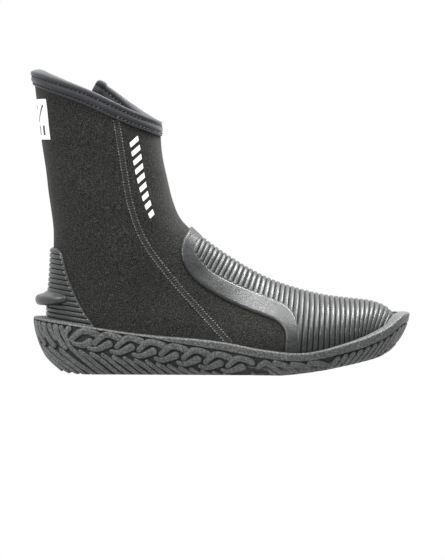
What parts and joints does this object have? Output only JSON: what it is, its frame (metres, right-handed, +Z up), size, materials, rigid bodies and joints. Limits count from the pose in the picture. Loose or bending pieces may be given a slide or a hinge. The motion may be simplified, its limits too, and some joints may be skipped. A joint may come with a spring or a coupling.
{
  "type": "neoprene boot",
  "caption": "Ankle-high neoprene water-sports boot with a ribbed rubber forefoot overlay, a lugged wrap-up outsole, a heel cap with a strap ledge and a side zip.",
  "frame": {"origin": "on the ground, under the middle of the boot's length", "axes": "+X to the toe, +Y to the inner side of the foot, +Z up"},
  "size_m": [0.2659, 0.0994, 0.2114],
  "materials": {
    "neoprene": "knitted nylon over foam, matt",
    "binding_tape": "elastic tape, satin",
    "thread": "sewing thread",
    "outsole_rubber": "moulded, satin",
    "overlay_rubber": "moulded, semi-gloss",
    "footbed_foam": "laminated foam",
    "board": "fibreboard",
    "zip_tape": "woven tape",
    "zip_teeth": "moulded",
    "slider_metal": "moulded, satin",
    "print_film": "heat-pressed film"
  },
  "bodies": {
    "boot_body": {"outsole": "outsole_rubber", "insole_board": "board", "bottom_panel": "neoprene", "front_panel": "neoprene", "rear_panel": "neoprene", "footbed_liner": "footbed_foam", "toe_overlay": "overlay_rubber", "heel_cap": "overlay_rubber", "collar_binding": "binding_tape", "binding_stitch_upper": "thread", "binding_stitch_lower": "thread", "seam_thread_outer": "thread", "seam_thread_inner": "thread", "zip_gusset": "neoprene", "zip_tape_front": "zip_tape", "zip_tape_rear": "zip_tape", "zip_teeth_front": "zip_teeth", "zip_teeth_rear": "zip_teeth", "zip_top_stop_front": "zip_teeth", "zip_top_stop_rear": "zip_teeth", "zip_bottom_stop": "zip_teeth", "zip_stitch_front": "thread", "zip_stitch_rear": "thread", "size_patch": "print_film", "side_mark": "print_film"},
    "slider": {"zip_slider": "slider_metal"},
    "pull_tab": {"zip_pull_tab": "slider_metal"}
  },
  "joints": [
    {"name": "zip_slide", "type": "slide", "parent": "boot_body", "child": "slider", "axis": [0.1931, 0, -0.9812], "range_m": [0, 0.1032]},
    {"name": "tab_hinge", "type": "hinge", "parent": "slider", "child": "pull_tab", "pos_m": [-0.08737, 0.04055, 0.17564], "axis": [0.9812, 0, 0.1931], "range_deg": [0, 170]}
  ]
}
